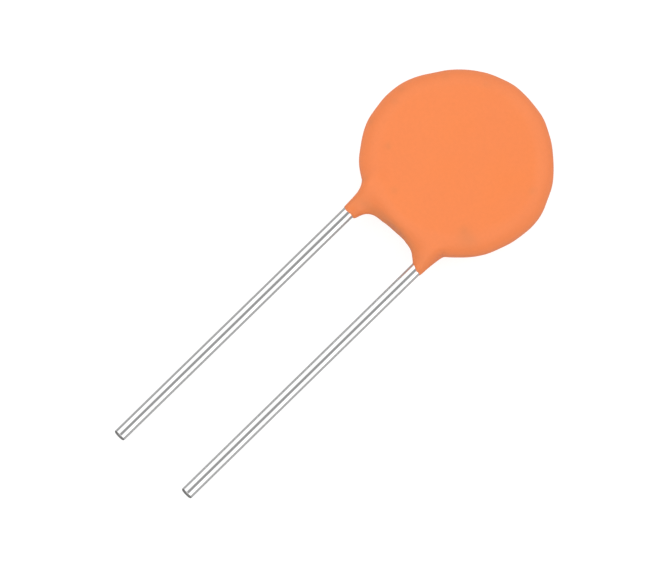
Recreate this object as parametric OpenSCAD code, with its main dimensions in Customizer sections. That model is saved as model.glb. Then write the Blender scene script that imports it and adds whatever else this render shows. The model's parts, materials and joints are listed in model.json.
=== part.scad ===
// Ceramic disc capacitor, radial leads. All sizes in millimetres.
// It lies as it comes to rest: leads towards -Y, on its lower face and the tips of its leads.

/* [Coating] */
// diameter of the coated disc
body_d = 11.1; // [10.2:0.1:16]
// coating beyond the ceramic all round its edge
rim_coat = 1.05; // [0.9:0.05:1.3]
// coating over the solder joints, measured at the middle of the disc
face_coat = 0.31; // [0.25:0.01:0.6]
// rise of each face from the round rim to the middle
face_crown = 0.29; // [0.2:0.01:0.5]
// how far the edge between the leads is set in from the round
web_inset = 0.39; // [0.2:0.01:0.6]
// coating on the wire, at the top of each leg
leg_coat = 0.08; // [0.05:0.01:0.15]
// coating on the wire, at the end of each leg
leg_end_coat = 0.02; // [0.01:0.01:0.04]
// coating on the straight wire below its crank, left
left_leg = 0.48; // [0.1:0.01:2]
// coating on the straight wire below its crank, right
right_leg = 0.13; // [0.1:0.01:2]

/* [Ceramic] */
// thickness of the ceramic disc
ceramic_t = 1; // [0.6:0.05:1.6]
// thickness of each fired silver layer
silver_t = 0.03; // [0.02:0.005:0.05]
// bare ceramic around each silver layer
bare_rim = 0.4; // [0.3:0.05:0.6]

/* [Leads] */
// distance between the two leads
lead_pitch = 5; // [4:0.1:6]
// diameter of the wire
lead_d = 0.74; // [0.5:0.01:0.9]
// bare wire below the end of each leg
lead_free = 18.2; // [3:0.1:30]

/* [Solder] */
// solder under the wire
solder_bed = 0.04; // [0.02:0.01:0.08]
// solder over the wire
solder_cover = 0.11; // [0.05:0.01:0.3]

/* [Hidden] */
$fn = 64;

// sizes that surfaces meet at are kept to a round step, so that they meet exactly
step = 0.01;
function rounded(v) = round(v / step) * step;
function rounded_up(v) = ceil(v / step) * step;
function rounded_down(v) = floor(v / step) * step;

// ceramic, silver and solder, from the size of the coated disc
lead_x = lead_pitch / 2;
lead_r = lead_d / 2;
ceramic_r = body_d / 2 - rim_coat;
silver_r = ceramic_r - bare_rim;
silver_z = ceramic_t / 2 + silver_t;
lead_z = silver_z + solder_bed + lead_r;
joint_r = solder_bed + lead_d + solder_cover;
joint_margin = 0.1;
joint_half = rounded_down(sqrt(pow(silver_r - joint_r - joint_margin, 2) - pow(lead_x, 2)));

// crank of each lead: two equal arcs, clear of the ceramic's edge, on a 3-4-5 triangle
crank_cos = 0.6;
crank_sin = 0.8;
crank_turn = acos(crank_cos);
bend_r = lead_z / (2 * (1 - crank_cos));
crank_len = 2 * bend_r * crank_sin;
crank_gap = 0.05;
crank_top = rounded_up(sqrt(pow(ceramic_r, 2) - pow(lead_x, 2)) + crank_gap);
crank_bottom = crank_top + crank_len;

// coated disc: crowned faces that run into a round rim. Each crown is a hair tighter than the arc
// that touches the rim's, so that the two cross
half_t = rounded(silver_z + joint_r + face_coat);
rim_r = half_t - face_crown;
rim_c = body_d / 2 - rim_r;
crown_tangent_r = (pow(rim_c, 2) + pow(half_t, 2) - pow(rim_r, 2)) / (2 * (half_t - rim_r));
crown_tighter = 0.992;
crown_r = rounded(crown_tighter * crown_tangent_r);
crown_c = crown_r - half_t;
crown_edge = rounded(rim_c * crown_tangent_r / (crown_tangent_r - rim_r));

// legs, and the web that rounds the corners between them
leg_r = lead_r + leg_coat;
web_edge = body_d / 2 - web_inset;
web_fullness = 0.1;
web_round = rim_r + web_fullness;
web_hide = 0.03;
web_tube_r = lead_r - web_hide;
web_sink = 0.1;
web_top = web_edge - web_sink - web_tube_r;
left_end = crank_bottom + left_leg;
right_end = crank_bottom + right_leg;

// rest: the lower face and the longer lead's tip touch the same flat surface
tip_y = max(left_end, right_end) + lead_free;
rest_arm = crown_c + lead_r;
rest_tilt = atan2(tip_y, rest_arm) - acos(crown_r / sqrt(pow(rest_arm, 2) + pow(tip_y, 2)));
rest_z = crown_r - crown_c * cos(rest_tilt);
rest_front = rim_c * cos(rest_tilt) + rim_r;
rest_back = tip_y * cos(rest_tilt) + lead_r * sin(rest_tilt);
rest_y = (rest_back - rest_front) / 2;

big = 2 * body_d;

module at_rest() {
    translate([0, rest_y, rest_z]) rotate([rest_tilt, 0, 0]) children();
}

// ---- ceramic and silver ----

module ceramic_blank() {
    translate([0, 0, -ceramic_t / 2]) cylinder(h = ceramic_t, r = ceramic_r);
}

module silver_layer() {
    translate([0, 0, ceramic_t / 2]) cylinder(h = silver_t, r = silver_r);
}

// ---- wire path: straight, cranked over by lead_z, then along the face ----

module bend_arc(r) {
    rotate([0, 90, 0]) translate([-bend_r, 0, 0])
        rotate_extrude(angle = crank_turn) translate([bend_r, 0]) circle(r);
}

module crank(r) {
    bend_arc(r);
    translate([0, crank_len, lead_z]) rotate([180, 0, 0]) bend_arc(r);
}

module along_y(from_y, to_y, r, from_r = undef) {
    start_r = is_undef(from_r) ? r : from_r;
    translate([0, from_y, 0]) rotate([-90, 0, 0]) cylinder(h = to_y - from_y, r1 = start_r, r2 = r);
}

module wire_run(r, end_y, end_r = undef) {
    along_y(-end_y, -crank_bottom, r, end_r);
    translate([0, -crank_bottom, 0]) crank(r);
    translate([0, 0, lead_z]) along_y(-crank_top, joint_half, r);
}

module on_left() {
    translate([-lead_x, 0, 0]) children();
}

module on_right() {
    translate([lead_x, 0, 0]) rotate([0, 180, 0]) children();
}

module lead_wire(leg_end) {
    wire_run(lead_r, leg_end + lead_free);
}

// ---- solder: a long mound over the wire, flat on the silver ----

module mound() {
    translate([0, 0, silver_z]) difference() {
        union() {
            along_y(-joint_half, joint_half, joint_r);
            for (end = [-1, 1]) translate([0, end * joint_half, 0]) sphere(joint_r);
        }
        translate([-big / 2, -big / 2, -big]) cube(big);
    }
}

module solder_joint(leg_end) {
    difference() {
        mound();
        lead_wire(leg_end);
    }
}

// ---- coating ----

module disc_blank() {
    rotate_extrude() {
        intersection() {
            translate([0, -crown_c]) circle(crown_r, $fn = 360);
            translate([0, crown_c]) circle(crown_r, $fn = 360);
            translate([0, -big / 2]) square([crown_edge, big]);
        }
        translate([rim_c, 0]) circle(rim_r);
    }
}

// what the set-in edge between the leads takes off the round
module web_trim() {
    rotate([90, 0, 90]) translate([0, 0, -big / 2]) linear_extrude(big) difference() {
        translate([-big, -big / 2]) square([big - web_edge + web_round, big]);
        translate([web_round - web_edge, 0]) circle(web_round);
    }
}

// one quarter turn, from along a leg to along the edge between the leads
module web_corner(leg_end) {
    start_y = leg_end - web_hide;
    turn_r = start_y - web_top;
    translate([turn_r, -start_y, 0]) rotate([0, 0, 90])
        rotate_extrude(angle = 90) translate([turn_r, 0]) circle(web_tube_r);
}

module coated_leg(leg_end) {
    wire_run(leg_r, leg_end, lead_r + leg_end_coat);
    web_corner(leg_end);
}

module coating_blank() {
    difference() {
        disc_blank();
        web_trim();
    }
    on_left() coated_leg(left_end);
    on_right() coated_leg(right_end);
}

// ---- nodes ----

module coating() {
    color([0.93, 0.46, 0.16]) at_rest() difference() {
        coating_blank();
        ceramic_blank();
        silver_layer();
        rotate([0, 180, 0]) silver_layer();
        on_left() {
            lead_wire(left_end);
            mound();
        }
        on_right() {
            lead_wire(right_end);
            mound();
        }
    }
}

module ceramic_disc() {
    color([0.78, 0.72, 0.62]) at_rest() ceramic_blank();
}

module front_electrode() {
    color([0.85, 0.85, 0.83]) at_rest() silver_layer();
}

module back_electrode() {
    color([0.85, 0.85, 0.83]) at_rest() rotate([0, 180, 0]) silver_layer();
}

module front_joint() {
    color([0.62, 0.64, 0.66]) at_rest() on_left() solder_joint(left_end);
}

module back_joint() {
    color([0.62, 0.64, 0.66]) at_rest() on_right() solder_joint(right_end);
}

module left_lead() {
    color([0.8, 0.81, 0.82]) at_rest() on_left() lead_wire(left_end);
}

module right_lead() {
    color([0.8, 0.81, 0.82]) at_rest() on_right() lead_wire(right_end);
}

coating();
ceramic_disc();
front_electrode();
back_electrode();
front_joint();
back_joint();
left_lead();
right_lead();
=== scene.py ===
# Ceramic disc capacitor: dipped coating, tinned leads and what the coating hides.
# Sizes in the dictionaries are millimetres; the meshes are made in metres in the row's frame.
import json
import math
import bpy
import numpy as np
from mathutils import Matrix, Vector


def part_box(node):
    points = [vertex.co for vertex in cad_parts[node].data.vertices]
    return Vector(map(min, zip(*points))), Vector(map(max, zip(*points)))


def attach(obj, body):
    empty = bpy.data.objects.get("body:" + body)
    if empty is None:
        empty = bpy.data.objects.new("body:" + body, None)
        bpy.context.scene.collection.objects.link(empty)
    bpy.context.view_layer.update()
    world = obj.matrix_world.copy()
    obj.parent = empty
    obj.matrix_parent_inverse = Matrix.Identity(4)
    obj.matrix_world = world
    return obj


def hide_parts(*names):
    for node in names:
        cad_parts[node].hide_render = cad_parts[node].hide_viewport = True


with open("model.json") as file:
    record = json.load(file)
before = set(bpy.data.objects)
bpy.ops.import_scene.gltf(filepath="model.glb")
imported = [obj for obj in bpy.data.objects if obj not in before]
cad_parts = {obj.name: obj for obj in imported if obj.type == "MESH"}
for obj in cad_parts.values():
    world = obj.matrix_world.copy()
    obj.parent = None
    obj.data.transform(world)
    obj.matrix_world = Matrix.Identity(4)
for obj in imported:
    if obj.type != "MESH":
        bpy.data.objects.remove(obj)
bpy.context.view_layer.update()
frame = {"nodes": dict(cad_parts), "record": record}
mm = 0.001

# where the part lies: its own axes, from the record and the frame
mounts = {mount["name"]: mount for mount in frame["record"]["mounts"]}
leadAxis = -Vector(mounts["left_pin"]["axis"]).normalized()     # from the tips towards the disc
acrossAxis = Vector((1.0, 0.0, 0.0))
faceAxis = acrossAxis.cross(leadAxis)
leadTilt = math.atan2(leadAxis.z, leadAxis.y)
ceramicLow, ceramicHigh = [Vector(corner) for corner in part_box("ceramic_disc")]
discCentre = (ceramicLow + ceramicHigh) / 2


def fromDisc(point):
    # a place in the row's frame, as millimetres across, along and out of the disc
    away = (Vector(point) - discCentre) / mm
    return Vector((away.dot(acrossAxis), away.dot(leadAxis), away.dot(faceAxis)))


def toRow(points):
    # many places at once, from millimetres on the disc's own axes to metres in the row's frame
    axes = np.array([acrossAxis, leadAxis, faceAxis])
    return np.array(discCentre) + points @ axes * mm


def legEnd(name):
    # the bare wire starts half its length above the middle of the pin
    pin = mounts[name]
    return -fromDisc(pin["pos_m"]).y - pin["dims"]["length_mm"] / 2


def addObject(name, mesh):
    made = bpy.data.objects.new(name, mesh)
    bpy.context.scene.collection.objects.link(made)
    return made


# short ways to add nodes; a value is a number or a colour to set, or another node's output to link
def addNode(tree, kind, at, **values):
    node = tree.nodes.new(kind)
    node.location = at
    for name, value in values.items():
        setattr(node, name, value)
    return node


def plug(tree, socket, value):
    if isinstance(value, bpy.types.NodeSocket):
        tree.links.new(value, socket)
    else:
        socket.default_value = value


def addMath(tree, at, operation, *values):
    node = addNode(tree, "ShaderNodeMath", at, operation=operation)
    for socket, value in zip(node.inputs, values):
        plug(tree, socket, value)
    return node.outputs[0]


def addRange(tree, at, value, source, target, **settings):
    node = addNode(tree, "ShaderNodeMapRange", at, **settings)
    plug(tree, node.inputs["Value"], value)
    for name, limit in zip(("From Min", "From Max", "To Min", "To Max"), (*source, *target)):
        plug(tree, node.inputs[name], limit)
    return node.outputs["Result"]


def addMix(tree, at, kind, factor, first, second):
    # a Mix node has sockets of its own for each kind of value
    node = addNode(tree, "ShaderNodeMix", at, data_type=kind)
    firstInput, output = {"FLOAT": (2, 0), "RGBA": (6, 2)}[kind]
    plug(tree, node.inputs[0], factor)
    plug(tree, node.inputs[firstInput], first)
    plug(tree, node.inputs[firstInput + 1], second)
    return node.outputs[output]


def patchyFinish():
    # two sizes of noise: a colour mix with slow patches and fine specks, and a height for the grain
    group = bpy.data.node_groups.new("patchyFinish", "ShaderNodeTree")
    for name, kind, value in (
        ("Vector", "Vector", None),
        ("Patch Scale", "Float", 600.0),
        ("Grain Scale", "Float", 6000.0),
        ("Main Colour", "Color", (0.8, 0.8, 0.8, 1)),
        ("Patch Colour", "Color", (0.7, 0.7, 0.7, 1)),
        ("Patch Amount", "Float", 0.5),
        ("Speck Amount", "Float", 0.1),
    ):
        socket = group.interface.new_socket(name, in_out="INPUT", socket_type="NodeSocket" + kind)
        if value is not None:
            socket.default_value = value
    for name, kind in (("Colour", "Color"), ("Grain", "Float"), ("Patches", "Float")):
        group.interface.new_socket(name, in_out="OUTPUT", socket_type="NodeSocket" + kind)
    given = addNode(group, "NodeGroupInput", (-900, 0)).outputs
    result = addNode(group, "NodeGroupOutput", (700, 0)).inputs
    noises = []
    for scale, detail, row in (("Patch Scale", 3, 200), ("Grain Scale", 2, -150)):
        noise = addNode(group, "ShaderNodeTexNoise", (-650, row))
        noise.inputs["Detail"].default_value = detail
        plug(group, noise.inputs["Vector"], given["Vector"])
        plug(group, noise.inputs["Scale"], given[scale])
        noises.append(noise.outputs["Fac"])
    slow, fine = noises
    spread = addRange(group, (-400, 200), slow, (0.35, 0.7), (0.0, 1.0))
    amount = addMath(group, (-150, 200), "MULTIPLY", spread, given["Patch Amount"])
    patched = addMix(group, (100, 150), "RGBA", amount, given["Main Colour"], given["Patch Colour"])
    darkest = addMath(group, (-400, -400), "SUBTRACT", 1.0, given["Speck Amount"])
    speck = addRange(group, (-400, -150), fine, (0.35, 0.65), (1.0, darkest))
    specked = addNode(group, "ShaderNodeVectorMath", (400, 100), operation="SCALE")
    plug(group, specked.inputs[0], patched)
    plug(group, specked.inputs["Scale"], speck)
    plug(group, result["Colour"], specked.outputs[0])
    plug(group, result["Grain"], fine)
    plug(group, result["Patches"], slow)
    return group


patchyGroup = patchyFinish()


def newMaterial(name, metallic, roughness):
    material = bpy.data.materials.new(name)
    material.use_nodes = True
    shader = material.node_tree.nodes["Principled BSDF"]
    shader.inputs["Metallic"].default_value = metallic
    shader.inputs["Roughness"].default_value = roughness
    return material, material.node_tree, shader


def finishedMaterial(name, looks, stretch=(1, 1, 1)):
    # object coordinates, turned to lie along the leads, into the shared finish
    material, tree, shader = newMaterial(name, looks["metallic"], looks["roughness"][0])
    place = addNode(tree, "ShaderNodeTexCoord", (-1300, 0))
    turn = addNode(tree, "ShaderNodeMapping", (-1100, 0), vector_type="TEXTURE")
    turn.inputs["Location"].default_value = discCentre
    turn.inputs["Rotation"].default_value = (leadTilt, 0, 0)
    squeeze = addNode(tree, "ShaderNodeMapping", (-900, 0))
    squeeze.inputs["Scale"].default_value = stretch
    finish = addNode(tree, "ShaderNodeGroup", (-650, 0), node_tree=patchyGroup)
    plug(tree, turn.inputs["Vector"], place.outputs["Object"])
    plug(tree, squeeze.inputs["Vector"], turn.outputs["Vector"])
    plug(tree, finish.inputs["Vector"], squeeze.outputs["Vector"])
    for label, key in (("Patch Scale", "patchScale"), ("Grain Scale", "grainScale"), ("Main Colour", "colour"),
                       ("Patch Colour", "patchColour"), ("Patch Amount", "patches"), ("Speck Amount", "specks")):
        finish.inputs[label].default_value = looks[key]
    plug(tree, shader.inputs["Base Color"], finish.outputs["Colour"])
    dull = addRange(tree, (-350, -100), finish.outputs[looks["dulledBy"]], (0.3, 0.7), looks["roughness"])
    plug(tree, shader.inputs["Roughness"], dull)
    bump = addNode(tree, "ShaderNodeBump", (-200, -350))
    bump.inputs["Strength"].default_value = looks["grainStrength"]
    bump.inputs["Distance"].default_value = looks["grainDepth"]
    plug(tree, bump.inputs["Height"], finish.outputs["Grain"])
    plug(tree, shader.inputs["Normal"], bump.outputs["Normal"])
    return material, tree, shader, finish


# leads: one tree of nodes bends the wire from its tip to its end on the ceramic's face
leadSettings = {
    "pitch": 5.0,             # between the middles of the two leads
    "radius": mounts["left_pin"]["dims"]["r_mm"],
    "bareLength": mounts["left_pin"]["dims"]["length_mm"],
    "legEnds": (legEnd("left_pin"), legEnd("right_pin")),   # where the coating stops, below the disc's middle
    "crankBottom": 5.68,      # where the crank starts, below the disc's middle
    "crankOffset": 0.94,      # how far it carries the wire over, from the middle to the face
    "bendRadius": 1.175,      # of the wire's middle line in both bends
    "topEnd": 1.84,           # end of the wire on the face, above the middle of the disc
    "endRound": 0.11,         # rounding of the cut edges
    "endRings": 9,            # rings round it
    "cutFacing": -0.25,       # faces that look further down the lead than this have the cut finish
    "rings": 260,             # rings along the wire
    "sides": 48,              # sides of each ring
}


def leadTree():
    tree = bpy.data.node_groups.new("crankedLead", "GeometryNodeTree")
    face = tree.interface
    face.new_socket("Geometry", in_out="INPUT", socket_type="NodeSocketGeometry")
    for kind, names in (
        ("Float", ("Tip", "Top End", "Crank Bottom", "Crank Offset", "Bend Radius", "Across", "Side",
                   "Radius", "End Round", "Cut Facing")),
        ("Int", ("Rings", "Sides")),
        ("Material", ("Finish", "Cut Finish")),
    ):
        for name in names:
            face.new_socket(name, in_out="INPUT", socket_type="NodeSocket" + kind)
    face.new_socket("Geometry", in_out="OUTPUT", socket_type="NodeSocketGeometry")
    value = addNode(tree, "NodeGroupInput", (-1000, 0)).outputs
    result = addNode(tree, "NodeGroupOutput", (1950, 0)).inputs

    def do(operation, *values):
        count = len(tree.nodes)
        return addMath(tree, (-600 + 160 * (count % 12), -200 * (count // 12)), operation, *values)

    # distance from the tip: a few close rings round each cut edge, and even steps between them
    endRings = leadSettings["endRings"]
    turnStep = math.pi / 2 / endRings
    index = addNode(tree, "GeometryNodeInputIndex", (-1000, -300)).outputs[0]
    lastRing = do("SUBTRACT", value["Rings"], 1)
    length = do("ADD", value["Tip"], value["Top End"])
    nearTip = do("MINIMUM", index, endRings)
    nearTop = do("MINIMUM", do("SUBTRACT", lastRing, index), endRings)
    tipRise = do("SUBTRACT", 1, do("COSINE", do("MULTIPLY", nearTip, turnStep)))
    topRise = do("SUBTRACT", 1, do("COSINE", do("MULTIPLY", nearTop, turnStep)))
    middle = do("DIVIDE", do("SUBTRACT", do("MAXIMUM", index, endRings), endRings),
                do("SUBTRACT", lastRing, 2 * endRings))
    middle = do("MINIMUM", middle, 1)
    plain = do("MULTIPLY", middle, do("SUBTRACT", length, do("MULTIPLY", value["End Round"], 2)))
    fromTip = do("ADD", do("MULTIPLY", tipRise, value["End Round"]),
                 do("ADD", plain, do("MULTIPLY", do("SUBTRACT", 1, topRise), value["End Round"])))
    along = do("SUBTRACT", fromTip, value["Tip"])

    # the crank: two equal arcs one after the other
    up = do("ADD", along, value["Crank Bottom"])
    flat = do("SUBTRACT", 1, do("DIVIDE", do("MULTIPLY", value["Crank Offset"], 0.5), value["Bend Radius"]))
    rise = do("MULTIPLY", value["Bend Radius"], do("SQRT", do("SUBTRACT", 1, do("MULTIPLY", flat, flat))))
    first = do("MINIMUM", do("MAXIMUM", up, 0), rise)
    second = do("MAXIMUM", do("SUBTRACT", do("MULTIPLY", rise, 2), do("MAXIMUM", up, rise)), 0)

    def arcDepth(reach):
        square = do("SUBTRACT", do("MULTIPLY", value["Bend Radius"], value["Bend Radius"]),
                    do("MULTIPLY", reach, reach))
        return do("SUBTRACT", value["Bend Radius"], do("SQRT", square))

    inSecond = do("GREATER_THAN", up, rise)
    upper = do("SUBTRACT", value["Crank Offset"], arcDepth(second))
    over = do("ADD", do("MULTIPLY", do("SUBTRACT", 1, inSecond), arcDepth(first)),
              do("MULTIPLY", inSecond, upper))

    # radius: full all along, rounded over at both cut ends
    nearEnd = do("MULTIPLY", do("MINIMUM", nearTip, nearTop), turnStep)
    narrower = do("MULTIPLY", do("SUBTRACT", 1, do("SINE", nearEnd)), value["End Round"])
    radius = do("SUBTRACT", value["Radius"], narrower)

    place = addNode(tree, "ShaderNodeCombineXYZ", (900, -100))
    plug(tree, place.inputs["X"], value["Across"])
    plug(tree, place.inputs["Y"], along)
    plug(tree, place.inputs["Z"], do("MULTIPLY", over, value["Side"]))
    line = addNode(tree, "GeometryNodeMeshLine", (0, 300))
    plug(tree, line.inputs["Count"], value["Rings"])
    moved = addNode(tree, "GeometryNodeSetPosition", (300, 300))
    plug(tree, moved.inputs["Position"], place.outputs[0])
    curve = addNode(tree, "GeometryNodeMeshToCurve", (500, 300))
    ring = addNode(tree, "GeometryNodeCurvePrimitiveCircle", (700, 100))
    ring.inputs["Radius"].default_value = 1.0
    plug(tree, ring.inputs["Resolution"], value["Sides"])
    tube = addNode(tree, "GeometryNodeCurveToMesh", (950, 300))
    tube.inputs["Fill Caps"].default_value = True
    plug(tree, tube.inputs["Profile Curve"], ring.outputs["Curve"])
    plug(tree, tube.inputs["Scale"], radius)
    smooth = addNode(tree, "GeometryNodeSetShadeSmooth", (1150, 300))
    real = addNode(tree, "GeometryNodeRealizeInstances", (1350, 300))
    finish = addNode(tree, "GeometryNodeSetMaterial", (1550, 300))
    plug(tree, finish.inputs["Material"], value["Finish"])
    normal = addNode(tree, "GeometryNodeInputNormal", (1350, 0))
    facing = addNode(tree, "ShaderNodeSeparateXYZ", (1550, 0))
    plug(tree, facing.inputs[0], normal.outputs[0])
    cut = addNode(tree, "GeometryNodeSetMaterial", (1750, 300))
    plug(tree, cut.inputs["Selection"], do("LESS_THAN", facing.outputs["Y"], value["Cut Facing"]))
    plug(tree, cut.inputs["Material"], value["Cut Finish"])
    chain = (line, moved, curve, tube, smooth, real, finish, cut)
    for before, after in zip(chain, chain[1:]):
        plug(tree, after.inputs[0], before.outputs[0])
    plug(tree, result["Geometry"], cut.outputs[0])
    return tree


def makeLead(tree, name, node, number, finishes):
    s = leadSettings
    side = (-1, 1)[number]
    source = addObject(name + "Source", bpy.data.meshes.new(name + "Source"))
    modifier = source.modifiers.new("lead", "NODES")
    modifier.node_group = tree
    sockets = {item.name: item.identifier for item in tree.interface.items_tree if item.in_out == "INPUT"}
    values = {
        "Tip": s["legEnds"][number] + s["bareLength"],
        "Top End": s["topEnd"],
        "Crank Bottom": s["crankBottom"],
        "Crank Offset": s["crankOffset"],
        "Bend Radius": s["bendRadius"],
        "Across": side * s["pitch"] / 2,
        "Side": float(-side),
        "Radius": s["radius"],
        "End Round": s["endRound"],
        "Cut Facing": s["cutFacing"],
        "Rings": s["rings"],
        "Sides": s["sides"],
        "Finish": finishes[0],
        "Cut Finish": finishes[1],
    }
    for label, value in values.items():
        modifier[sockets[label]] = value

    # the modifier's result becomes a plain mesh, and the object that carried it goes
    graph = bpy.context.evaluated_depsgraph_get()
    mesh = bpy.data.meshes.new_from_object(source.evaluated_get(graph), depsgraph=graph)
    bpy.data.objects.remove(source)
    mesh.name = name
    corners = np.zeros(len(mesh.vertices) * 3)
    mesh.vertices.foreach_get("co", corners)
    mesh.vertices.foreach_set("co", toRow(corners.reshape(-1, 3)).ravel())
    mesh.update()
    lead = addObject(name, mesh)
    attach(lead, "root")
    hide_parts(node)
    return lead


wireLooks = {
    "metallic": 1.0, "roughness": (0.10, 0.17), "dulledBy": "Grain",
    "colour": (0.93, 0.93, 0.93, 1), "patchColour": (0.86, 0.865, 0.87, 1), "patchScale": 900.0,
    "patches": 0.4, "specks": 0.03,
    "grainScale": 5500.0,     # lines left by the drawing die, per metre
    "grainStretch": (1, 0.012, 1),
    "grainStrength": 0.6, "grainDepth": 0.0000008,
}

cutLooks = {
    "metallic": 1.0, "roughness": (0.35, 0.55), "dulledBy": "Grain",
    "colour": (0.36, 0.355, 0.35, 1), "patchColour": (0.25, 0.245, 0.24, 1), "patchScale": 2500.0,
    "patches": 0.7, "specks": 0.15,
    "grainScale": 9000.0,     # marks of the cutter's blade
    "grainStretch": (0.3, 1, 1),
    "grainStrength": 0.6, "grainDepth": 0.000012,
}

tinnedWire = finishedMaterial("tinnedWire", wireLooks, wireLooks["grainStretch"])[0]
shearedEnd = finishedMaterial("shearedEnd", cutLooks, cutLooks["grainStretch"])[0]
crankedLead = leadTree()
leftLead = makeLead(crankedLead, "leftLead", "left_lead", 0, (tinnedWire, shearedEnd))
rightLead = makeLead(crankedLead, "rightLead", "right_lead", 1, (tinnedWire, shearedEnd))
print("leads:", len(leftLead.data.polygons), "and", len(rightLead.data.polygons), "faces")


# coating: one skin from a distance field, disc and legs run together as dipped resin does;
# pairs of values are for the left and the right leg
coatSettings = {
    "discRadius": 5.485,        # outline of the coated disc
    "outlineWaves": [           # unevenness of the outline: count round it, size, start (degrees)
        (2, 0.058, 44), (4, 0.059, 6), (7, 0.012, 16), (11, 0.009, 5), (17, 0.007, 12), (26, 0.004, 3),
    ],
    "discOffset": (-0.196, 0.089),  # the dip left the disc a little off the middle of the leads
    "halfThick": 1.70,          # middle of the disc to either face
    "faceCrown": 0.28,          # fall of a face from its middle to the rim
    "rimRound": 1.30,           # rounding from a face into the rim
    "webDip": 0.43,             # how far the edge between the leads is drawn in
    "webAngle": 268.0,          # where it is drawn in most (degrees)
    "webSpread": 26.0,          # and how far round that reaches (degrees)
    "webSharp": 0.55,           # how much tighter the rim is rounded there
    "webSharpSpread": 32.0,     # and how far round that reaches (degrees)
    "legTop": 0.395,            # radius of the coat round a lead where it leaves the disc
    "legTip": 0.380,            # and at the end of its leg
    "legSlant": (-0.16, -0.5),  # how much lower a leg ends on its inner side
    "legExtra": (-0.10, -0.17),     # how far the coat runs past the nominal end
    "legRagged": (0.03, 5, 7),  # unevenness of that end: size, radians per mm out and inwards
    "legCutBlend": 0.05,        # rounding of that end
    "innerBlend": (0.36, 0.30),     # fillet from a leg to the disc, on the inner side
    "outerBlend": (0.64, 0.34),     # and on the outer side
    "blendFade": 0.12,          # how softly one goes over into the other
    "webRound": (1.30, 3.07),   # radius of the hollow corner inside each leg
    "webCentre": ((1.68, 6.47), (2.41, 7.96)),  # its middle: in from the lead, down from the disc's middle
    "webReach": (1.76, 1.66),   # how far in from the lead it reaches
    "webOutside": 0.1,          # and how far out
    "webTop": 4.3,              # where it ends inside the disc
    "webThick": 0.36,           # half its thickness at the end of the leg
    "webRise": 0.78,            # and how much more of it where it meets the disc
    "webBlend": 0.50,           # fillet from it to the disc
    "webCutBlend": (0.05, 0.55),    # rounding of its sides low down, and how much more at the disc
    "thickenFrom": 6.0,         # web and ridge thicken from here, below the disc's middle
    "thickenOver": 1.7,         # over this length
    "ridgeWidth": (0.30, 0.06), # half width of the ridge outside a leg, and how much more at the disc
    "ridgeRise": 1.7,           # how much thicker than wide it gets where it meets the disc
    "ridgeOut": 0.07,           # and how far outwards it leans
    "ridgeTop": 3.9,            # where it ends inside the disc
    "ridgeBlend": 0.16,         # fillet from it to the leg
    "ridgeCutBlend": 0.1,       # rounding of its ends
    "wave": 0.018,              # slow unevenness of the dipped surface
    "waves": [                  # its waves: radians per mm across, along and out, start, share
        (1.7, 0.9, 0.0, 0.6, 1.0), (-1.1, 2.1, 1.3, 2.0, 1.0), (2.9, -1.9, 0.8, 4.1, 0.7),
    ],
    "waveEnd": (5.2, 0.1),      # below this it fades out, over this length
    "low": (-6.1, -6.9, -2.0),  # corners of the block that the mesh is drawn in
    "high": (6.1, 6.1, 2.0),
    "grid": 0.09,               # cell size of the mesh
    # where the coat is browner: partly thin coat, partly painted shade along the edge between the leads and
    # beside the right leg
    "thinAndShadedEdge": (0.27, 5.08, 0.05, 0.20, 2.2),  # between the leads: strength, place, curve, width, half length
    "thinLegs": (0.19, 5.0, 0.22),  # down the legs: strength, start, fade
    # darker spots: those beside the right leg are painted shade, the others simply darker spots
    "shadeAndDarkSpots": [                # small smudges: across, up, size, strength
        (3.34, -2.76, 0.55, 0.20), (3.05, -2.55, 0.25, 0.12), (3.75, -2.60, 0.30, 0.10),
        (-3.39, -2.16, 0.22, 0.18), (-1.36, -3.71, 0.22, 0.14), (-3.11, -4.36, 0.20, 0.20),
        (4.15, 1.77, 0.22, 0.18), (-3.99, 3.00, 0.22, 0.15), (-2.03, 4.30, 0.24, 0.12),
        (-5.15, -1.76, 0.22, 0.16), (-5.22, 0.72, 0.20, 0.16), (-5.02, -0.05, 0.20, 0.16),
        (3.25, -4.28, 0.26, 0.34), (3.62, -4.10, 0.24, 0.26), (4.0, -3.85, 0.24, 0.14),
    ],
}


def smoothUnion(a, b, k):
    h = np.maximum(k - np.abs(a - b), 0) / k
    return np.minimum(a, b) - h * h * k / 4


def smoothCut(a, b, k):
    return -smoothUnion(-a, -b, k)


def fadeOut(value):
    # 1 well below zero, 0 well above it
    return 1 / (1 + np.exp(value))


def inwardFrom(p, side):
    # distance from a lead towards the middle of the part
    return -side * (p[..., 0] - side * leadSettings["pitch"] / 2)


def riseToDisc(p):
    # 0 down a leg, 1 where it is in the disc
    return np.clip((p[..., 1] + coatSettings["thickenFrom"]) / coatSettings["thickenOver"], 0, 1)


def eased(rise):
    return rise * rise * (3 - 2 * rise)


def crankPath(side):
    # middle line of a lead inside its leg, from the straight part up to the face of the ceramic
    s = leadSettings
    turn = math.acos(1 - s["crankOffset"] / (2 * s["bendRadius"]))
    rise = s["bendRadius"] * math.sin(turn)
    points, steps = [], 7
    for angle in np.linspace(0, turn, steps):
        points.append((-s["crankBottom"] + s["bendRadius"] * math.sin(angle),
                       s["bendRadius"] * (1 - math.cos(angle))))
    for angle in np.linspace(turn, 0, steps)[1:]:
        points.append((-s["crankBottom"] + 2 * rise - s["bendRadius"] * math.sin(angle),
                       s["crankOffset"] - s["bendRadius"] * (1 - math.cos(angle))))
    return [(side * s["pitch"] / 2, y, -side * z) for y, z in points]


def rodDistance(p, a, b, radiusA, radiusB):
    a, b = np.array(a), np.array(b)
    along = b - a
    t = np.clip(((p - a) @ along) / (along @ along), 0, 1)
    return np.linalg.norm(p - a - t[..., None] * along, axis=-1) - (radiusA + (radiusB - radiusA) * t)


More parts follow.
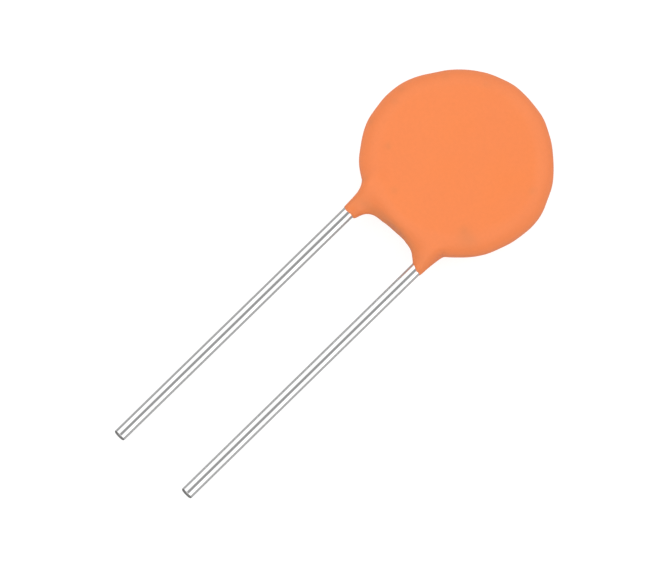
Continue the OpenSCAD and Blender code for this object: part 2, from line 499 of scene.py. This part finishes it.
def discDistance(p):
    s = coatSettings
    x, y, z = p[..., 0] - s["discOffset"][0], p[..., 1] - s["discOffset"][1], p[..., 2]
    r = np.sqrt(x * x + y * y)
    turn = np.arctan2(y, x)
    outline = s["discRadius"]
    for count, size, start in s["outlineWaves"]:
        outline = outline + size * np.cos(count * (turn - math.radians(start)))
    fromWeb = (np.degrees(turn) - s["webAngle"] + 180) % 360 - 180
    outline = outline - s["webDip"] * np.exp(-(fromWeb / s["webSpread"]) ** 2)
    height = s["halfThick"] - s["faceCrown"] * (r / s["discRadius"]) ** 2
    turning = s["rimRound"] - s["webSharp"] * np.exp(-(fromWeb / s["webSharpSpread"]) ** 2)
    edge = r - outline + turning
    top = np.abs(z) - height + turning
    outer = np.sqrt(np.maximum(edge, 0) ** 2 + np.maximum(top, 0) ** 2)
    return outer + np.minimum(np.maximum(edge, top), 0) - turning


def legDistance(p, side, number):
    # the coat round a lead, cut off ragged and slanting at its end
    s = coatSettings
    path = crankPath(side)
    end = leadSettings["legEnds"][number] + s["legExtra"][number]
    pastEnd, narrowing = 0.3, 0.02      # the cone runs on past the cut
    bottom = (path[0][0], -end - pastEnd, 0.0)
    d = rodDistance(p, path[0], bottom, s["legTop"], s["legTip"] - narrowing)
    for a, b in zip(path, path[1:]):
        d = np.minimum(d, rodDistance(p, a, b, s["legTop"], s["legTop"]))
    inward = inwardFrom(p, side)
    slant = s["legSlant"][number] * inward / (2 * leadSettings["radius"])
    size, out, inwards = s["legRagged"]
    ragged = size * np.sin(out * p[..., 2] + inwards * inward)
    return smoothCut(d, -p[..., 1] - end - slant - ragged, s["legCutBlend"])


def webDistance(p, side, number):
    # the thin hollow corner between a leg and the edge of the disc
    s = coatSettings
    rise = riseToDisc(p)
    thick = s["webThick"] + s["webRise"] * eased(rise)
    centreIn, centreDown = s["webCentre"][number]
    inward = inwardFrom(p, side)
    hollow = s["webRound"][number] - np.hypot(inward - centreIn, p[..., 1] + centreDown)
    plate = np.hypot(np.maximum(hollow + thick, 0), p[..., 2]) - thick
    sides = np.maximum(-inward - s["webOutside"], inward - s["webReach"][number])
    ends = np.maximum(-p[..., 1] - leadSettings["legEnds"][number], p[..., 1] + s["webTop"])
    return smoothCut(plate, np.maximum(sides, ends), s["webCutBlend"][0] + s["webCutBlend"][1] * rise)


def ridgeDistance(p, side, number):
    # each leg is a straight ridge outside, whichever face its lead goes to
    s = coatSettings
    rise = eased(riseToDisc(p))
    width = s["ridgeWidth"][0] + s["ridgeWidth"][1] * rise
    across = inwardFrom(p, side) + s["ridgeOut"] * rise
    ridge = np.hypot(across, p[..., 2] / (1 + s["ridgeRise"] * rise)) - width
    ends = np.maximum(-p[..., 1] - leadSettings["legEnds"][number], p[..., 1] + s["ridgeTop"])
    return smoothCut(ridge, ends, s["ridgeCutBlend"])


def coatDistance(p):
    s = coatSettings
    d = discDistance(p)
    for number, side in enumerate((-1, 1)):
        inner = fadeOut(-inwardFrom(p, side) / s["blendFade"])
        blend = s["outerBlend"][number] + (s["innerBlend"][number] - s["outerBlend"][number]) * inner
        d = smoothUnion(d, legDistance(p, side, number), blend)
        d = smoothUnion(d, webDistance(p, side, number), s["webBlend"])
        d = smoothUnion(d, ridgeDistance(p, side, number), s["ridgeBlend"])
    x, y, z = p[..., 0], p[..., 1], p[..., 2]
    wave = sum(share * np.sin(a * x + b * y + c * z + start) for a, b, c, start, share in s["waves"])
    wave = wave / sum(entry[-1] for entry in s["waves"])
    return d + s["wave"] * wave * fadeOut((-y - s["waveEnd"][0]) / s["waveEnd"][1])


def thinAndShadeMask(p):
    # how far the coat is browner at each place, from 0 to 1: thin coat and painted shade
    x, y = p[..., 0], p[..., 1]
    # painted shade along the edge between the leads, where the rim rolls under, together with the thin coat there
    strength, place, curve, width, half = coatSettings["thinAndShadedEdge"]
    thinAndShade = strength * np.exp(-((y + place + curve * x * x) / width) ** 2) * np.exp(-(x / half) ** 4)
    strength, start, fade = coatSettings["thinLegs"]
    thinAndShade = thinAndShade + strength * fadeOut((y + start) / fade)
    # painted shade beside the right leg and darker spots elsewhere, on the front face only
    for across, up, size, strength in coatSettings["shadeAndDarkSpots"]:
        near = np.exp(-((x - across) ** 2 + (y - up) ** 2) / size ** 2)
        thinAndShade = thinAndShade + strength * near * (p[..., 2] > 0)
    return np.clip(thinAndShade, 0, 1)


def netMesh(distance, low, high, step):
    # one corner for each grid cell that the surface runs through, one face for each grid line it cuts
    axes = [np.arange(a, b + step, step) for a, b in zip(low, high)]
    grid = np.stack(np.meshgrid(*axes, indexing="ij"), axis=-1)
    inside = distance(grid) < 0
    cells = np.zeros([n - 1 for n in inside.shape], dtype=int)
    for corner in np.ndindex(2, 2, 2):
        cells += inside[tuple(slice(c, n - 1 + c) for c, n in zip(corner, inside.shape))]
    cut = (cells > 0) & (cells < 8)
    number = np.full(cut.shape, -1)
    number[cut] = np.arange(cut.sum())
    points = np.array(low) + (np.argwhere(cut) + 0.5) * step

    # each corner moves on to the surface in a few rounds, down the slope of the distance
    rounds, nudge, leastSlope = 6, 1e-3, 0.05
    for _ in range(rounds):
        gradient = np.stack([distance(points + d) - distance(points - d)
                             for d in np.eye(3) * nudge], axis=-1) / (2 * nudge)
        size = np.maximum((gradient ** 2).sum(-1), leastSlope)
        move = -distance(points)[:, None] * gradient / size[:, None]
        points = points + np.clip(move, -step, step)

    faces = []
    for axis in range(3):
        one, two = (axis + 1) % 3, (axis + 2) % 3
        first = np.take(inside, range(inside.shape[axis] - 1), axis)
        second = np.take(inside, range(1, inside.shape[axis]), axis)
        for out, order in ((first & ~second, 1), (~first & second, -1)):
            at = np.argwhere(out)
            at = at[(at[:, one] > 0) & (at[:, two] > 0)]
            quad = []
            for shiftOne, shiftTwo in ((-1, -1), (0, -1), (0, 0), (-1, 0))[::order]:
                cell = at.copy()
                cell[:, one] += shiftOne
                cell[:, two] += shiftTwo
                quad.append(number[tuple(cell.T)])
            faces.append(np.stack(quad, axis=-1))
    return points, np.concatenate(faces)


coatLooks = {
    "metallic": 0.0, "roughness": (0.40, 0.52), "dulledBy": "Patches",
    "colour": (0.850, 0.217, 0.0525, 1), "patchColour": (0.800, 0.203, 0.055, 1), "patchScale": 450.0,
    "patches": 0.35, "specks": 0.02,
    "grainScale": 5200.0, "grainStrength": 0.5, "grainDepth": 0.000012,
    # brown of the thin coat, also used for the painted shade
    "thinAndShadedColour": (0.50, 0.180, 0.058, 1),
}


def coatMaterial():
    material, tree, shader, finish = finishedMaterial("dippedResin", coatLooks)
    # the coat goes browner where it is thin and where shade is painted in
    thinAndShade = addNode(tree, "ShaderNodeAttribute", (-650, 300), attribute_name="thinCoatAndShade")
    plug(tree, shader.inputs["Base Color"], addMix(
        tree, (-300, 200), "RGBA", thinAndShade.outputs["Fac"], finish.outputs["Colour"], coatLooks["thinAndShadedColour"]))
    return material


def makeCoat():
    points, faces = netMesh(coatDistance, coatSettings["low"], coatSettings["high"], coatSettings["grid"])
    mesh = bpy.data.meshes.new("coatSkin")
    mesh.from_pydata(toRow(points).tolist(), [], faces.tolist())
    mesh.shade_smooth()
    # thin coat and painted shade, kept on the corners for the material
    thinAndShade = mesh.attributes.new("thinCoatAndShade", "FLOAT", "POINT")
    thinAndShade.data.foreach_set("value", thinAndShadeMask(points).astype(np.float32))
    mesh.materials.append(coatMaterial())
    mesh.update()
    coat = addObject("coatSkin", mesh)
    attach(coat, "root")
    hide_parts("coating")
    return coat


coatSkin = makeCoat()
print("coating:", len(coatSkin.data.polygons), "faces")


# the sealed pieces keep their shapes and get a finish
sealedLooks = {
    "firedCeramic": {
        "nodes": ["ceramic_disc"], "metallic": 0.0, "roughness": (0.75, 0.9), "dulledBy": "Patches",
        "colour": (0.52, 0.42, 0.28, 1), "patchColour": (0.44, 0.34, 0.21, 1), "patchScale": 500.0,
        "patches": 0.6, "specks": 0.18,
        "grainScale": 9000.0, "grainStrength": 0.7, "grainDepth": 0.000006,
    },
    "firedSilver": {
        "nodes": ["front_electrode", "back_electrode"], "metallic": 0.9, "roughness": (0.38, 0.6),
        "dulledBy": "Patches",
        "colour": (0.80, 0.79, 0.75, 1), "patchColour": (0.68, 0.66, 0.60, 1), "patchScale": 700.0,
        "patches": 0.6, "specks": 0.15,
        "grainScale": 12000.0, "grainStrength": 0.7, "grainDepth": 0.000004,
    },
    "softSolder": {
        "nodes": ["front_joint", "back_joint"], "metallic": 1.0, "roughness": (0.16, 0.34), "dulledBy": "Patches",
        "colour": (0.62, 0.63, 0.65, 1), "patchColour": (0.50, 0.51, 0.53, 1), "patchScale": 1100.0,
        "patches": 0.6, "specks": 0.08,
        "grainScale": 4000.0, "grainStrength": 0.7, "grainDepth": 0.000008,
    },
}

for finishName, looks in sealedLooks.items():
    sealedMaterial = finishedMaterial(finishName, looks)[0]
    for node in looks["nodes"]:
        piece = frame["nodes"][node]
        piece.data.materials.clear()
        piece.data.materials.append(sealedMaterial)
print("sealed pieces: done")


# floor and light
studioSettings = {
    "floorSize": 3.0,
    "floorColour": (0.3, 0.3, 0.3, 1),
    "floorRoughness": 0.9,
    "floorGlow": {              # the floor is a light table: how bright it is by itself
        "Is Camera Ray": 0.80,      # looked at
        "Is Glossy Ray": 0.13,      # mirrored in the wires
        "Is Diffuse Ray": 0.58,     # lighting the underside
    },
    "lightOverhead": 1.35,      # the soft light, straight up
    "lightAtHorizon": 1.20,     # and all round the sides
    "lightRight": 0.10,         # how much more comes from the right than from the middle
    "lightNear": 0.02,          # and from the side the leads point to
    "card": 0.33,               # the small grey card overhead that draws the line along each wire
    "cardAcross": (-14.0, 35.0),    # where it lies, in degrees from straight up, across the leads
    "cardAlong": (-8.0, 24.0),  # and along them
    "cardEdge": 16.0,           # softness of its edges, in degrees
    "darkEdge": (-70.0, -84.0), # where a dark edge begins low down on the left, and where it is full
    "darkEdgeLight": 0.20,      # how bright it is; only the wires mirror it
    "backdrop": 0.93,           # what the camera sees past the floor
}


def makeFloor():
    s = studioSettings
    half = s["floorSize"] / 2
    mesh = bpy.data.meshes.new("lightTable")
    mesh.from_pydata([(-half, -half, 0), (half, -half, 0), (half, half, 0), (-half, half, 0)], [], [(0, 1, 2, 3)])
    floor = addObject("lightTable", mesh)
    material, tree, shader = newMaterial("lightTable", 0.0, s["floorRoughness"])
    shader.inputs["Base Color"].default_value = s["floorColour"]
    shader.inputs["Specular IOR Level"].default_value = 0.0
    shader.inputs["Emission Color"].default_value = (1, 1, 1, 1)
    path = addNode(tree, "ShaderNodeLightPath", (-900, 0))
    glow = 0.0
    for number, (ray, strength) in enumerate(s["floorGlow"].items()):
        at = (-600 + 150 * number, -150 * number)
        glow = addMath(tree, at, "MULTIPLY_ADD", path.outputs[ray], strength, glow)
    plug(tree, shader.inputs["Emission Strength"], glow)
    mesh.materials.append(material)


def bandMask(tree, value, limits, soft, row):
    # 1 inside the limits, 0 outside, with soft edges
    half = (limits[1] - limits[0]) / 2
    centred = addMath(tree, (-600, row), "SUBTRACT", value, sum(limits) / 2)
    size = addMath(tree, (-450, row), "ABSOLUTE", centred)
    return addRange(tree, (-300, row), size, (half - soft / 2, half + soft / 2), (1.0, 0.0),
                    interpolation_type="SMOOTHSTEP")


def makeLight():
    s = studioSettings
    world = bpy.data.worlds.new("studio")
    bpy.context.scene.world = world
    world.use_nodes = True
    tree = world.node_tree
    background = tree.nodes["Background"]
    background.inputs["Color"].default_value = (1, 1, 1, 1)
    place = addNode(tree, "ShaderNodeTexCoord", (-1400, 0))
    split = addNode(tree, "ShaderNodeSeparateXYZ", (-1200, 0))
    plug(tree, split.inputs[0], place.outputs["Generated"])
    right, far, above = split.outputs
    path = addNode(tree, "ShaderNodeLightPath", (100, 600))

    # soft light from all round, a little stronger from some sides
    sky = addRange(tree, (-500, 250), above, (0.0, 1.0), (s["lightAtHorizon"], s["lightOverhead"]))
    sky = addMath(tree, (-300, 250), "MULTIPLY_ADD", right, s["lightRight"], sky)
    sky = addMath(tree, (-100, 250), "MULTIPLY_ADD", far, -s["lightNear"], sky)

    # the grey card overhead
    angles, masks = [], []
    for direction, limits, row in ((right, s["cardAcross"], 0), (far, s["cardAlong"], -250)):
        angle = addMath(tree, (-1000, row), "ARCTAN2", direction, above)
        angles.append(addMath(tree, (-800, row), "DEGREES", angle))
        masks.append(bandMask(tree, angles[-1], limits, s["cardEdge"], row))
    onCard = addMath(tree, (-100, -100), "MULTIPLY", *masks)
    light = addMix(tree, (100, 100), "FLOAT", onCard, sky, s["card"])

    # low down on the left the wires mirror a dark edge
    lowLeft = addRange(tree, (-300, 600), angles[0], s["darkEdge"], (0.0, 1.0), interpolation_type="SMOOTHSTEP")
    mirrored = addMath(tree, (-100, 600), "MULTIPLY", lowLeft, path.outputs["Is Glossy Ray"])
    light = addMix(tree, (300, 300), "FLOAT", mirrored, light, s["darkEdgeLight"])

    # the camera itself sees a plain backdrop
    light = addMix(tree, (500, 200), "FLOAT", path.outputs["Is Camera Ray"], light, s["backdrop"])
    plug(tree, background.inputs["Strength"], light)


cameraSettings = {
    "azimuth": 37.27,           # degrees round from straight across the leads' tips
    "elevation": 76.13,
    "roll": 8.1,
    "distance": 0.5,            # metres, as are the next three
    "frameWidth": 0.03754,      # width of what it sees at the part
    "aimAcross": -0.007029,     # aim, from the middle of the disc, along the picture's own axes
    "aimUp": -0.006504,
    "clip": (0.01, 10.0),
    "sensorWidth": 36.0,        # millimetres
}


def makeCamera():
    s = cameraSettings
    azimuth, elevation, roll = [math.radians(s[name]) for name in ("azimuth", "elevation", "roll")]
    towards = Vector((math.sin(azimuth) * math.cos(elevation), -math.cos(azimuth) * math.cos(elevation),
                      math.sin(elevation)))
    level = Vector((math.cos(azimuth), math.sin(azimuth), 0))
    upright = towards.cross(level)
    across = math.cos(roll) * level + math.sin(roll) * upright
    up = math.cos(roll) * upright - math.sin(roll) * level
    aim = discCentre + across * s["aimAcross"] + up * s["aimUp"]
    data = bpy.data.cameras.new("camera")
    data.sensor_width = s["sensorWidth"]
    data.lens = s["sensorWidth"] * s["distance"] / s["frameWidth"]
    data.clip_start, data.clip_end = s["clip"]
    camera = addObject("camera", data)
    turned = Matrix((across, up, towards)).transposed().to_4x4()
    turned.translation = aim + towards * s["distance"]
    camera.matrix_world = turned
    bpy.context.scene.camera = camera


makeFloor()
makeLight()
makeCamera()
bpy.context.scene.view_settings.view_transform = "Standard"
print("floor, light and camera: done")
